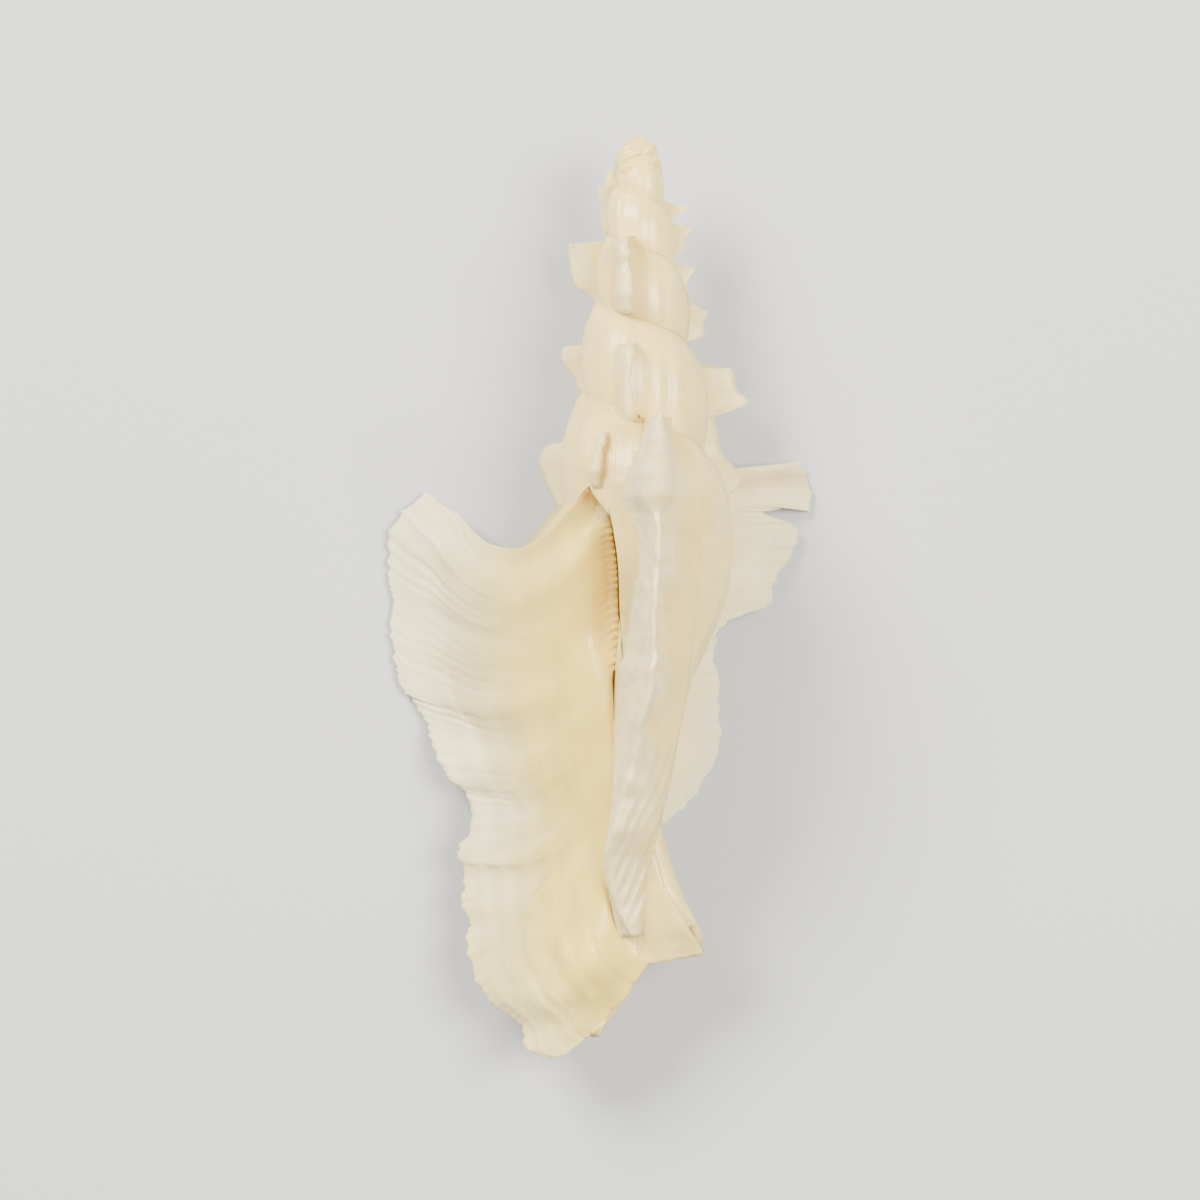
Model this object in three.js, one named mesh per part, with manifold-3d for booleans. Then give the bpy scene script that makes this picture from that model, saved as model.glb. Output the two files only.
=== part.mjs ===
// A murex shell with three rows of winged ribs (varices), lying on the edges of two of its wings.
// Millimetres. The shell's own frame has its coiling axis along Y, with the spire towards +Y, and the
// fin that stands up between the two side wings towards +Z. The last lines set it down on Z = 0.
import * as THREE from "three";
import { mergeVertices } from "three/addons/utils/BufferGeometryUtils.js";
import Module from "manifold-3d";

// ---- driving dimensions ----
const WHORL_RATIO = 1.38; // size of a whorl over the one before it
const FIRST_TURN = -5; // turns before the lip at which the coil starts, under the worn tip
const LIP_AZIMUTH = 208; // degrees about the axis from +X towards +Z; growth turns the other way
const VARIX_STEP = 120; // degrees of growth from one varix to the next
const EARLY_STEP = 4.5; // further degrees for each varix older than the third
const CORE = 1.2; // radius of the pillar in the middle
const AXIS_CORE = 0.4; // radius of the innermost surface of a whorl wedge
const CANAL_WALL = 1.8; // wall of the flared canal ends
const EDGE_THICKNESS = 1.0; // of a wing at its margin
const TIP_DROP = 12.6; // of the worn tip below the point where the coil's cone would close

// ---- how the shell lies, on the edges of its two side wings ----
const ROLL = 3.15; // degrees about its axis, so that both side wings touch the ground
const PITCH = -0.63; // degrees, tip down

const radians = THREE.MathUtils.degToRad;

// Height of the cross-section down the axis (drop) and its radius, where the last whorl meets the lip.
// The first point is the suture; the sixth is where the next whorl would cover it.
const WHORL = [
  [11.9, 73.1], [14.8, 76.5], [16.9, 81.5], [17.9, 87.9], [17.7, 94.4], [16.4, 100.9], [13.5, 107.7],
  [10.3, 114.5], [7.7, 121.3], [5.5, 129.8], [3.9, 137.9], [2.9, 146], [2.4, 152], [2, 156],
];
// The same, with the canal's end bent outwards as it is at a varix.
const WHORL_AT_VARIX = [...WHORL.slice(0, 10), [4.2, 138], [6, 146], [9.2, 154], [14.5, 161.5]];

const curve = (points) =>
  new THREE.CatmullRomCurve3(points.map(([x, y, z = 0]) => new THREE.Vector3(x, y, z)), false, "catmullrom", 0.5);
const plainProfile = curve(WHORL);
const varixProfile = curve(WHORL_AT_VARIX);

// Rows of numbers, each starting with its station; the numbers at any station between them.
function between(rows, station) {
  let i = 1;
  while (i < rows.length - 1 && rows[i][0] < station) i++;
  const [low, high] = [rows[i - 1], rows[i]];
  const share = (station - low[0]) / (high[0] - low[0]);
  return low.slice(1).map((value, n) => THREE.MathUtils.lerp(value, high[n + 1], share));
}

const varixAzimuth = (k) => LIP_AZIMUTH + VARIX_STEP * k + EARLY_STEP * Math.max(0, k - 2);
const azimuthAt = (turn) => LIP_AZIMUTH - 360 * turn;
const turnAt = (azimuth) => (LIP_AZIMUTH - azimuth) / 360;
const sizeAt = (turn) => WHORL_RATIO ** turn;

function place(radius, azimuth, drop) {
  const angle = radians(azimuth);
  return new THREE.Vector3(radius * Math.cos(angle), -drop, radius * Math.sin(angle));
}

// How far the canal's end is bent out, from 0 just past a varix to 1 at the next.
function bendAt(turn) {
  const azimuth = azimuthAt(turn);
  let k = 0;
  while (varixAzimuth(k + 1) < azimuth) k++;
  const share = (varixAzimuth(k + 1) - azimuth) / (varixAzimuth(k + 1) - varixAzimuth(k));
  return THREE.MathUtils.smoothstep(share, 0.25, 1);
}

// Radius and drop of the outer surface, at station 0 (suture) to 1 (end of the canal).
function section(turn, station) {
  const p = plainProfile.getPoint(station);
  p.lerp(varixProfile.getPoint(station), bendAt(turn)).multiplyScalar(sizeAt(turn));
  return [p.x, p.y];
}

// A closed solid between two sheets, each a function of u and v from 0 to 1.
const wasm = await Module();
wasm.setup();
function solid(front, back, uSteps, vSteps) {
  const points = [];
  for (const sheet of [front, back])
    for (let i = 0; i <= uSteps; i++)
      for (let j = 0; j <= vSteps; j++) points.push(sheet(i / uSteps, j / vSteps));
  const layer = (uSteps + 1) * (vSteps + 1);
  const at = (i, j, side) => side * layer + i * (vSteps + 1) + j;
  const faces = [];
  const quad = (a, b, c, d) => faces.push(a, b, c, a, c, d);
  for (let i = 0; i < uSteps; i++)
    for (let j = 0; j < vSteps; j++) {
      quad(at(i, j, 0), at(i + 1, j, 0), at(i + 1, j + 1, 0), at(i, j + 1, 0));
      quad(at(i, j, 1), at(i, j + 1, 1), at(i + 1, j + 1, 1), at(i + 1, j, 1));
    }
  for (let i = 0; i < uSteps; i++) {
    quad(at(i, 0, 0), at(i, 0, 1), at(i + 1, 0, 1), at(i + 1, 0, 0));
    quad(at(i, vSteps, 0), at(i + 1, vSteps, 0), at(i + 1, vSteps, 1), at(i, vSteps, 1));
  }
  for (let j = 0; j < vSteps; j++) {
    quad(at(0, j, 0), at(0, j + 1, 0), at(0, j + 1, 1), at(0, j, 1));
    quad(at(uSteps, j, 0), at(uSteps, j, 1), at(uSteps, j + 1, 1), at(uSteps, j + 1, 0));
  }
  const geometry = new THREE.BufferGeometry().setFromPoints(points).setIndex(faces);
  if (volumeOf(points, faces) < 0) faces.reverse();
  return toSolid(geometry.setIndex(faces));
}

function volumeOf(points, faces) {
  let six = 0;
  for (let i = 0; i < faces.length; i += 3)
    six += points[faces[i]].dot(points[faces[i + 1]].clone().cross(points[faces[i + 2]]));
  return six / 6;
}

function toSolid(geometry) {
  geometry.deleteAttribute("normal");
  geometry.deleteAttribute("uv");
  const merged = mergeVertices(geometry, 1e-4);
  return new wasm.Manifold(
    new wasm.Mesh({
      numProp: 3,
      vertProperties: merged.getAttribute("position").array,
      triVerts: new Uint32Array(merged.index.array),
    }),
  );
}

// ---- the coil: thirds of a turn, each a wedge from its outer surface in to the axis ----
const WEDGE = 1 / 3;
function wedge(from, to, lastStation, steps, rows) {
  const outer = (u, v) => {
    const turn = THREE.MathUtils.lerp(from, to, u);
    const [radius, drop] = section(turn, v * lastStation);
    return place(radius, azimuthAt(turn), drop);
  };
  const inner = (u, v) => {
    const turn = THREE.MathUtils.lerp(from, to, u);
    const [radius, drop] = section(turn, v * lastStation);
    const hollow = radius - CANAL_WALL * THREE.MathUtils.smoothstep(v * lastStation, 0.75, 1);
    const core = v * lastStation > 0.78 ? Math.max(AXIS_CORE, hollow) : AXIS_CORE;
    return place(core, azimuthAt(turn), drop);
  };
  return solid(outer, inner, steps, rows);
}

function coil() {
  const wedges = [];
  const overlap = 0.01;
  for (let to = 0; to > FIRST_TURN; to -= WEDGE) {
    const isLast = to > -1.2; // its base and canal can be seen
    const from = Math.max(to - WEDGE - overlap, FIRST_TURN);
    wedges.push(wedge(from, to, isLast ? 1 : 0.5, isLast ? 6 : 5, isLast ? 18 : 7));
  }
  return wedges;
}

// ---- worn tip ----
function tip() {
  const radius = 3.9;
  const drop = 17.5;
  const outline = [[0, TIP_DROP], [1.3, 13.1], [2.7, 14.4], [radius, 15.8], [radius, drop], [0, drop]];
  return turned(outline);
}

function turned(outline) {
  return toSolid(new THREE.LatheGeometry(outline.map(([r, d]) => new THREE.Vector2(r, -d)).reverse(), 12));
}

// The solid pillar the whorls are wound on.
const pillar = () => turned([[0, 16], [CORE, 18], [CORE, 125], [0, 127]]);

// ---- the newest varix: the lip of the mouth and the wide wing beyond it ----
// Points are [x, drop, z]. The inner line is the rim of the mouth and then one side of the canal's slit.
const RIM = curve([
  [-7.8, -69.8, 11], [-6, -73.8, 8.5], [-4.6, -81, 1.5], [-4.2, -90, -1.5], [-3.9, -97.5, 0.5],
  [-4.2, -104, 2.2], [-4.2, -118.5, 2.2], [-5.3, -131, 2], [-4.5, -141, 1], [0.8, -147, -1],
]);
const WING_MARGIN = curve([
  [-35.2, -70.2, -20], [-40.4, -79, -22], [-40.9, -88, -22], [-39.7, -98.5, -22], [-36.5, -107.5, -21.5],
  [-28.4, -122.7, -13.5], [-29, -133.5, -14], [-26.8, -147, -12.5], [-21, -156.3, -9.5], [-15.8, -162.6, -6.5],
]);
const NOTCH_DEPTH = 9.2; // of the U between the wing and the spire
const LIP_CREST = 4.5; // rise of the lip's rounded face over a straight line from rim to margin

function wingFace(u, v) {
  const p = RIM.getPoint(v).lerp(WING_MARGIN.getPoint(v), u);
  const mouth = 1 - THREE.MathUtils.smoothstep(v, 0.35, 0.65);
  p.z += (2 + (LIP_CREST - 2) * mouth) * Math.sin(Math.PI * Math.min(1, u * 1.35) ** 0.8);
  p.y -= NOTCH_DEPTH * Math.sin(Math.PI * u) ** 1.2 * (1 - THREE.MathUtils.smoothstep(v, 0, 0.2));
  return p;
}

function wingBack(u, v) {
  const p = wingFace(u, v);
  const root = (1 - THREE.MathUtils.smoothstep(u, 0.1, 0.62)) * THREE.MathUtils.smoothstep(u, -0.25, 0.3);
  const mouth = 1 - THREE.MathUtils.smoothstep(v, 0.3, 0.6);
  const thick = EDGE_THICKNESS + (3.5 + 5 * mouth) * root;
  return p.add(new THREE.Vector3(-0.35, 0, -0.94).multiplyScalar(thick));
}

const wing = () => solid(wingFace, wingBack, 12, 26);
// Everything in front of the wing's face, to clear the older whorl away from before the mouth.
const inFrontOfWing = () =>
  solid(wingFace, (u, v) => wingFace(u, v).add(new THREE.Vector3(0, 0, 40)), 10, 26);

// ---- the fin that stands up: its back carries the white glaze of the mouth's inner side ----
// Stations are drops. Each row: drop, left root x and z, margin x and z, right root x and z, margin width.
const FIN_ROWS = [
  [60, 0.5, 14, 2.6, 31.5, 4.7, 14, 1.5],
  [63, 0.2, 13, 2.6, 31, 5, 13.5, 4],
  [70, -3, 12.5, 2.6, 28.5, 6, 13.5, 4.6],
  [73, -4.5, 10, 2.6, 27, 6.5, 14, 1],
  [80, -3.7, 5, 2.5, 27.5, 7.5, 13.5, 1],
  [88, -3.6, 3, 2.5, 27, 8, 11, 1],
  [98, -3.6, 3, 2.2, 25, 7, 8.5, 1],
  [108, -3.6, 3, 1.6, 21.5, 5, 5, 1],
  [120, -3.4, 2.6, 0.6, 15.5, 3.5, 3.5, 1],
  [130, -3.2, 2, -2, 10, 2.8, 2.5, 1],
  [138, -2.4, 1.5, -2.8, 6.5, 2.4, 2, 1],
];

function finSheet(side) {
  return (u, v) => {
    const drop = THREE.MathUtils.lerp(FIN_ROWS[0][0], FIN_ROWS.at(-1)[0], v);
    const [leftX, leftZ, x, z, rightX, rightZ, width] = between(FIN_ROWS, drop);
    const root = side < 0 ? new THREE.Vector2(leftX, leftZ) : new THREE.Vector2(rightX, rightZ);
    const edge = new THREE.Vector2(x + (side * width) / 2, z);
    const p = root.clone().lerp(edge, u);
    p.x = THREE.MathUtils.lerp(p.x, edge.x, 0.35 * Math.sin(Math.PI * Math.min(1, u)));
    return u === 0 ? new THREE.Vector3(side * 0.3, -drop, 1.5) : new THREE.Vector3(p.x, -drop, p.y);
  };
}
const fin = () => solid(finSheet(-1), finSheet(1), 6, 26);

// ---- the wing on the other side ----
// Rows: drop, root x, margin x.
const SIDE_ROWS = [
  [64.5, 24, 27.4], [68, 13.5, 27.8], [71, 9, 28.6], [73.5, 9, 27.5], [76, 9, 25.5], [82, 9, 24.5],
  [88, 9, 21.5], [91.5, 8, 15], [97, 7, 12.8], [104, 5, 13.5], [112, 4, 13.2], [118, 3, 10.5],
  [123.5, 2, 5.5],
];
function sideSheet(offset) {
  return (u, v) => {
    const drop = THREE.MathUtils.lerp(SIDE_ROWS[0][0], SIDE_ROWS.at(-1)[0], v);
    const [root, margin] = between(SIDE_ROWS, drop);
    const x = THREE.MathUtils.lerp(root, margin, u);
    const half = EDGE_THICKNESS / 2 + 1.6 * (1 - u) ** 2;
    return new THREE.Vector3(x, -drop, -0.62 * x - 1 + offset * half);
  };
}
const sideWing = () => solid(sideSheet(1), sideSheet(-1), 6, 26);

// ---- fins of the older varices, each a thin plate standing out from its whorl ----
// Azimuth, then the outline as pairs of radius and drop.
const OLD_FINS = [
  [206, [[6, 62], [16.5, 62.4], [19, 64.5], [18.6, 70], [15, 74.5], [6, 74]]],
  [206, [[6, 45], [11.5, 46.5], [15, 47], [14, 51], [10.2, 54.5], [6, 55]]],
  [208, [[4, 29], [11, 30.2], [13.6, 31], [11.5, 36.5], [8, 39.5], [4, 38]]],
  [208, [[3, 21], [6.5, 21.5], [8.4, 20.9], [6.6, 26.5], [3, 28]]],
  [124, [[6, 60.5], [14.6, 63], [15.2, 66], [14.4, 69], [6, 69]]],
  [120, [[4, 46.5], [12.2, 48], [12.8, 52], [11.6, 58.5], [4, 59]]],
  [118, [[3, 29], [11.8, 31], [11.6, 38], [9.4, 42], [3, 42]]],
  [-28, [[6, 49.5], [15.5, 49.6], [17, 54], [20.2, 55.6], [16, 57], [6, 57]]],
  [-28, [[5, 56], [12.5, 55], [14, 59.5], [14.2, 63.5], [19, 68.5], [10, 74]]],
  [-26, [[4, 39], [10.5, 39.6], [12.2, 41.5], [11, 45], [4, 46]]],
  [-26, [[3, 24], [6.5, 23.5], [8.6, 24.6], [7.6, 26], [9.6, 28], [8.6, 32], [10, 35.5], [5, 38]]],
];
const OLD_THICKNESS = 1.1;
function oldFin([azimuth, outline]) {
  const shape = new THREE.Shape(outline.map(([radius, drop]) => new THREE.Vector2(radius, -drop)));
  const plate = new THREE.ExtrudeGeometry(shape, { depth: OLD_THICKNESS, bevelEnabled: false });
  return toSolid(plate.translate(0, 0, -OLD_THICKNESS / 2).rotateY(-radians(azimuth)));
}

// ---- the mouth's hollow, which turns in behind the rim and follows the coil round ----
// Rows: way along, x and z of its middle, half its height, half its width, direction across it.
const HOLLOW_ROWS = [
  [0, -9, 6.5, 12.5, 4.2, 62],
  [0.2, -5, 4, 12.5, 3.6, 62],
  [0.4, -2.9, -0.6, 12, 1.5, 10],
  [0.6, -4.3, -6, 11, 2.6, 10],
  [0.8, -2.5, -9, 8, 3.2, -80],
  [1, 3.5, -8.8, 5, 2.2, -60],
];
const HOLLOW_DROP = 84;
function hollowSheet(side) {
  return (u, v) => {
    const [x, z, tall, wide, across] = between(HOLLOW_ROWS, u);
    const angle = Math.PI * v;
    const out = side * (wide * Math.sin(angle) + 0.05);
    const drop = HOLLOW_DROP - tall * Math.cos(angle);
    return new THREE.Vector3(x + out * Math.cos(radians(across)), -drop, z + out * Math.sin(radians(across)));
  };
}
const hollow = () => solid(hollowSheet(1), hollowSheet(-1), 12, 14);

const whorls = [...coil(), pillar(), tip()].reduce((sum, piece) => sum.add(piece));
const grown = [wing(), fin(), sideWing(), ...OLD_FINS.map(oldFin)];
const joined = grown.reduce((sum, piece) => sum.add(piece), whorls.subtract(inFrontOfWing()));
const shell = joined.subtract(hollow());

const mesh = shell.getMesh();
const geometry = new THREE.BufferGeometry()
  .setAttribute("position", new THREE.BufferAttribute(mesh.vertProperties, 3))
  .setIndex(new THREE.BufferAttribute(mesh.triVerts, 1));
geometry.rotateY(radians(ROLL)).rotateX(radians(PITCH)).computeBoundingBox();
const { min, max } = geometry.boundingBox;
geometry.translate(-(min.x + max.x) / 2, -(min.y + max.y) / 2, -min.z);
const node = new THREE.Mesh(
  geometry,
  new THREE.MeshStandardMaterial({ color: "#efe3c8", roughness: 0.45, metalness: 0 }),
);
node.name = "shell";
const group = new THREE.Group();
group.add(node);
export default group;
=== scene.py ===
"""A murex shell lying on the edges of its two side wings, seen from above.

The shell grows along a coil, and at every third of a turn it stops and builds a varix: a thickened rib
with a thin wing. All shapes are made in the shell's own frame in millimetres, with the coiling axis
along Y, and are then laid down on the ground as the frame has it.
"""

import math

import bpy
import numpy as np
from mathutils import Matrix, Vector


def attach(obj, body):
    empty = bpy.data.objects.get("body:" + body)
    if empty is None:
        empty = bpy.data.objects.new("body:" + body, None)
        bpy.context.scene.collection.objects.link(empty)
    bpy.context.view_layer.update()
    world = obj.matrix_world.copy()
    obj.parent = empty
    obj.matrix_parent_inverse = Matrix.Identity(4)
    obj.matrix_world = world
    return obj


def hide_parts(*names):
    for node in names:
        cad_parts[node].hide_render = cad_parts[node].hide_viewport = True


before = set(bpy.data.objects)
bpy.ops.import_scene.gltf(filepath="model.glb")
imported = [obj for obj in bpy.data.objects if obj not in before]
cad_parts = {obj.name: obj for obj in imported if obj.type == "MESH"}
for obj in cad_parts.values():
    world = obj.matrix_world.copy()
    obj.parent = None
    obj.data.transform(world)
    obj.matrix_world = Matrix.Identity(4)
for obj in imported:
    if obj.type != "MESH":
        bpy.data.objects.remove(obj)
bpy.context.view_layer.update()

MM = 0.001

# ---- the coil, as the frame has it ----
WHORL_RATIO = 1.38
FIRST_TURN = -5.0
LIP_AZIMUTH = 208.0
VARIX_STEP = 120.0
EARLY_STEP = 4.5
CORE = 1.2
AXIS_CORE = 0.4
CANAL_WALL = 1.8
ROLL = math.radians(3.15)
PITCH = math.radians(-0.63)
SEAT = Vector((7.57, 87.63, 19.9))

WHORL = np.array([
    [11.9, 73.1], [14.8, 76.5], [16.9, 81.5], [17.9, 87.9], [17.7, 94.4], [16.4, 100.9], [13.5, 107.7],
    [10.3, 114.5], [7.7, 121.3], [5.5, 129.8], [3.9, 137.9], [2.9, 146], [2.4, 152], [2, 156],
])
WHORL_AT_VARIX = np.vstack([WHORL[:10], [[4.2, 138], [6, 146], [9.2, 154], [13.4, 161.5]]])


# ---- small tools ----
def spline(points, t):
    """Points at t (0 to 1) on a smooth curve through the given points."""
    p = np.asarray(points, float)
    p = np.vstack([2 * p[0] - p[1], p, 2 * p[-1] - p[-2]])
    s = np.clip(np.asarray(t, float), 0, 1) * (len(p) - 3)
    i = np.minimum(s.astype(int), len(p) - 4)
    f = (s - i)[..., None]
    a, b, c, d = p[i], p[i + 1], p[i + 2], p[i + 3]
    return b + 0.5 * f * (c - a + f * (2 * a - 5 * b + 4 * c - d + f * (3 * (b - c) + d - a)))


def even(points, t):
    """Points on the same curve, but t runs evenly along its length."""
    fine = spline(points, np.linspace(0, 1, 400))
    run = np.append(0, np.cumsum(np.linalg.norm(np.diff(fine, axis=0), axis=1)))
    return np.stack([np.interp(t, run / run[-1], fine[:, k]) for k in range(fine.shape[1])], axis=-1)


def step(x, low, high):
    """0 below low, 1 above high, smooth between."""
    t = np.clip((np.asarray(x, float) - low) / (high - low), 0, 1)
    return t * t * (3 - 2 * t)


def bump(x, centre, width):
    """1 at the centre, falling smoothly to 0 at about twice the width from it."""
    return np.exp(-(((np.asarray(x, float) - centre) / width) ** 2))


def mix(a, b, t):
    return a + (b - a) * t


def noise(x, y=0.0, seed=0):
    """Smooth random values from -1 to 1, one wave or so to each unit of x and y."""
    lattice = np.random.default_rng(seed).uniform(-1, 1, (256, 256))
    x, y = np.broadcast_arrays(np.asarray(x, float), np.asarray(y, float))
    i, j = np.floor(x).astype(int), np.floor(y).astype(int)
    f, g = step(x - i, 0, 1), step(y - j, 0, 1)
    low = mix(lattice[i % 256, j % 256], lattice[(i + 1) % 256, j % 256], f)
    high = mix(lattice[i % 256, (j + 1) % 256], lattice[(i + 1) % 256, (j + 1) % 256], f)
    return mix(low, high, g)


def rough(x, y=0.0, seed=0, octaves=3):
    """Noise with finer and weaker noise added."""
    return sum(noise(x * 2**k, y * 2**k + 7.3 * k, seed + k) / 2**k for k in range(octaves))


def grid(rows, columns):
    """u along the rows and v along the columns, both from 0 to 1."""
    return np.meshgrid(np.linspace(0, 1, rows), np.linspace(0, 1, columns), indexing="ij")


def normals(sheet):
    """Unit normals of a grid of points."""
    along = np.gradient(sheet, axis=0)
    across = np.gradient(sheet, axis=1)
    n = np.cross(along, across)
    return n / np.maximum(np.linalg.norm(n, axis=2, keepdims=True), 1e-9)


TRAITS = ("warm", "chalk", "stain", "grow", "across", "kept")


def make(name, points, faces, values):
    """An object facing outwards from quads or triangles, with traits given as one value per point."""
    a, b, c = (points[faces[:, k]] for k in range(3))
    volume = np.einsum("ij,ij->i", a, np.cross(b, c)).sum()
    if faces.shape[1] == 4:
        volume += np.einsum("ij,ij->i", a, np.cross(c, points[faces[:, 3]])).sum()
    if volume < 0:
        faces = faces[:, ::-1]
    mesh = bpy.data.meshes.new(name)
    mesh.from_pydata(points.tolist(), [], faces.tolist())
    for trait in TRAITS:
        value = np.broadcast_to(values.get(trait, 0.0), len(points)).astype(np.float32)
        mesh.attributes.new(trait, "FLOAT", "POINT").data.foreach_set("value", np.ascontiguousarray(value))
    piece = bpy.data.objects.new(name, mesh)
    bpy.context.scene.collection.objects.link(piece)
    return piece


def capped(name, rings, **values):
    """A closed object from rows of rings, with a point in the middle of the first and the last."""
    rows, around = rings.shape[:2]
    points = np.concatenate([rings.reshape(-1, 3), [rings[0].mean(0)], [rings[-1].mean(0)]])
    at = np.arange(rows * around).reshape(rows, around)
    on = np.roll(at, -1, axis=1)
    side = np.stack([at[:-1], at[1:], on[1:], on[:-1]], axis=-1).reshape(-1, 4)
    side = np.concatenate([side[:, [0, 1, 2]], side[:, [0, 2, 3]]])
    first, last = np.full(around, rows * around), np.full(around, rows * around + 1)
    ends = np.concatenate([np.stack([first, at[0], on[0]], 1), np.stack([last, on[-1], at[-1]], 1)])
    return make(name, points, np.concatenate([side, ends]), {"kept": 1.0, **values})


def closed(name, front, back, **traits):
    """A closed object between two grids of points, with its traits written on its points."""
    rows, columns = front.shape[:2]
    points = np.concatenate([front.reshape(-1, 3), back.reshape(-1, 3)])
    at = np.arange(rows * columns).reshape(rows, columns)
    low = at + rows * columns

    def quads(a, b, c, d):
        return np.stack([a, b, c, d], axis=-1).reshape(-1, 4)

    faces = [
        quads(at[:-1, :-1], at[1:, :-1], at[1:, 1:], at[:-1, 1:]),
        quads(low[:-1, :-1], low[:-1, 1:], low[1:, 1:], low[1:, :-1]),
        quads(at[:-1, 0], low[:-1, 0], low[1:, 0], at[1:, 0]),
        quads(at[:-1, -1], at[1:, -1], low[1:, -1], low[:-1, -1]),
        quads(at[0, :-1], at[0, 1:], low[0, 1:], low[0, :-1]),
        quads(at[-1, :-1], low[-1, :-1], low[-1, 1:], at[-1, 1:]),
    ]
    values = {"kept": 1.0}
    for trait, value in traits.items():
        values[trait] = np.tile(np.broadcast_to(value, (rows, columns)).ravel(), 2)
    return make(name, points, np.concatenate(faces), values)


def join(base, others, operation="UNION"):
    """The base object joined with, or cut by, the others, as one new mesh."""
    for other in others:
        tool = base.modifiers.new("join", "BOOLEAN")
        tool.object, tool.operation, tool.solver = other, operation, "MANIFOLD"
    made = base.evaluated_get(bpy.context.evaluated_depsgraph_get())
    mesh = bpy.data.meshes.new_from_object(made)
    base.modifiers.clear()
    base.data = mesh
    for other in others:
        bpy.data.objects.remove(other)
    return base


# ---- growth ----
def varix_azimuth(k):
    return LIP_AZIMUTH + VARIX_STEP * k + EARLY_STEP * np.maximum(0, k - 2)


VARICES = varix_azimuth(np.arange(18.0))


def azimuth_at(turn):
    return LIP_AZIMUTH - 360 * turn


def size_at(turn):
    return WHORL_RATIO**turn


def place(radius, azimuth, drop):
    radius, angle, drop = np.broadcast_arrays(radius, np.radians(azimuth), drop)
    return np.stack([radius * np.cos(angle), -drop, radius * np.sin(angle)], axis=-1)


def bend_at(turn):
    """How far the canal's end is bent out: 0 just past a varix, 1 at the next."""
    turn = np.asarray(turn, float)
    azimuth = azimuth_at(turn)
    k = np.clip(np.searchsorted(VARICES, azimuth, side="left") - 1, 0, len(VARICES) - 2)
    share = (VARICES[k + 1] - azimuth) / (VARICES[k + 1] - VARICES[k])
    bent = np.where((turn > -0.99) & (turn < -0.64), 0.35, 1.0)  # the middle one is grown over
    bent = np.where(turn > -0.3, 0.6, bent)  # and the newest is within its own wing
    return step(share, 0.25, 1) * bent


def section(turn, station):
    bent = bend_at(turn)[..., None]
    p = mix(spline(WHORL, station), spline(WHORL_AT_VARIX, station), bent)
    p = p * size_at(turn)[..., None]
    return p[..., 0], p[..., 1]


def whorl_relief(turn, station):
    """Height of the whorl's own relief in mm: varix ridges, low swellings and growth ledges."""
    azimuth, size = azimuth_at(turn), size_at(turn)
    near = np.min(np.abs(azimuth[..., None] - VARICES), axis=-1)
    shoulder = step(station, 0.0, 0.06) * (1 - step(station, 0.55, 0.75))
    ridge = 0.8 * size * bump(near, 0, 6) * shoulder
    k = np.clip(np.searchsorted(VARICES, azimuth, side="left") - 1, 0, len(VARICES) - 2)
    share = (VARICES[k + 1] - azimuth) / (VARICES[k + 1] - VARICES[k])
    dip = 1.3 * size * (step(share, 0.0, 0.1) - step(share, 0.15, 0.8)) * step(station, 0.0, 0.1)
    swell = 0.42 * size * noise(azimuth / 11, station * 3, seed=3) * shoulder - dip * shoulder
    ledges = 0.12 * rough(azimuth * size / 3.2, station * 1.5, seed=5)
    cords = 0.05 * np.sin(station * 150 + 0.8 * noise(azimuth / 15, seed=8)) * step(station, 0.05, 0.2)
    return ridge + swell + ledges + cords


def wedge(start, stop, last_station, rows, columns):
    u, v = grid(rows, columns)
    turn, station = start * (1 - u) + stop * u, v * last_station
    radius, drop = section(turn, station)
    azimuth = azimuth_at(turn)
    outer = place(radius + whorl_relief(turn, station), azimuth, drop)
    thin = radius - CANAL_WALL * step(station, 0.75, 1)
    core = np.where(station > 0.78, np.maximum(AXIS_CORE, thin), AXIS_CORE)
    inner = place(core, azimuth, drop)
    grow = 2 * math.pi * 17 * size_at(turn) / math.log(WHORL_RATIO)
    # The second value is painted shade: a faint orange-brown along the suture crease at the top of each
    # whorl.
    warm, stain = 0.35 + 0.5 * bump(v, 0, 0.07), 0.1 * bump(v, 0, 0.04)
    return closed("whorl", outer, inner, grow=grow, across=drop, warm=warm, chalk=0.15, stain=stain)


def coil():
    ends = np.arange(0, FIRST_TURN - 0.01, -1 / 3)
    wedges = []
    for start, stop in zip(ends[1:], ends[:-1]):
        last = stop > -1.2
        size = (1.0, 42, 78) if last else (0.5, 26, 24)
        wedges.append(wedge(start, stop, *size))
    return wedges


def rings_about_axis(outline, around):
    """Rings about the axis through pairs of radius and drop."""
    r, d = np.array(outline, float).T
    angle = np.linspace(0, 360, around, endpoint=False)
    return place(r[:, None], angle[None, :], d[:, None])


def pillar():
    return capped("pillar", rings_about_axis([[0.2, 16], [CORE, 18], [CORE, 125], [0.2, 127]], 16))


def tip():
    """The worn, blunt tip: a dome with a chipped, eroded top."""
    dome = [[0.15, 12.7], [1.4, 13.0], [2.6, 14.3], [3.5, 16.0], [3.9, 18.6], [3.6, 20.0]]
    outline = spline(dome, np.linspace(0, 1, 40))
    rings = rings_about_axis(outline, 72)
    angle, drop = np.linspace(0, 2 * math.pi, 72, endpoint=False)[None, :], outline[:, 1:]
    worn = rough(np.cos(angle) * 1.6 + drop / 1.5, np.sin(angle) * 1.6 + drop / 2.2, 21)
    worn = worn * step(drop, 12.8, 15)
    rings[..., 0] *= 1 + 0.16 * worn
    rings[..., 2] *= 1 + 0.16 * worn
    rings[..., 1] += 0.3 * worn * (1 - step(drop, 15, 18))
    return capped("tip", rings, warm=0.5, chalk=0.1, grow=20.0, across=15.0)


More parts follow.
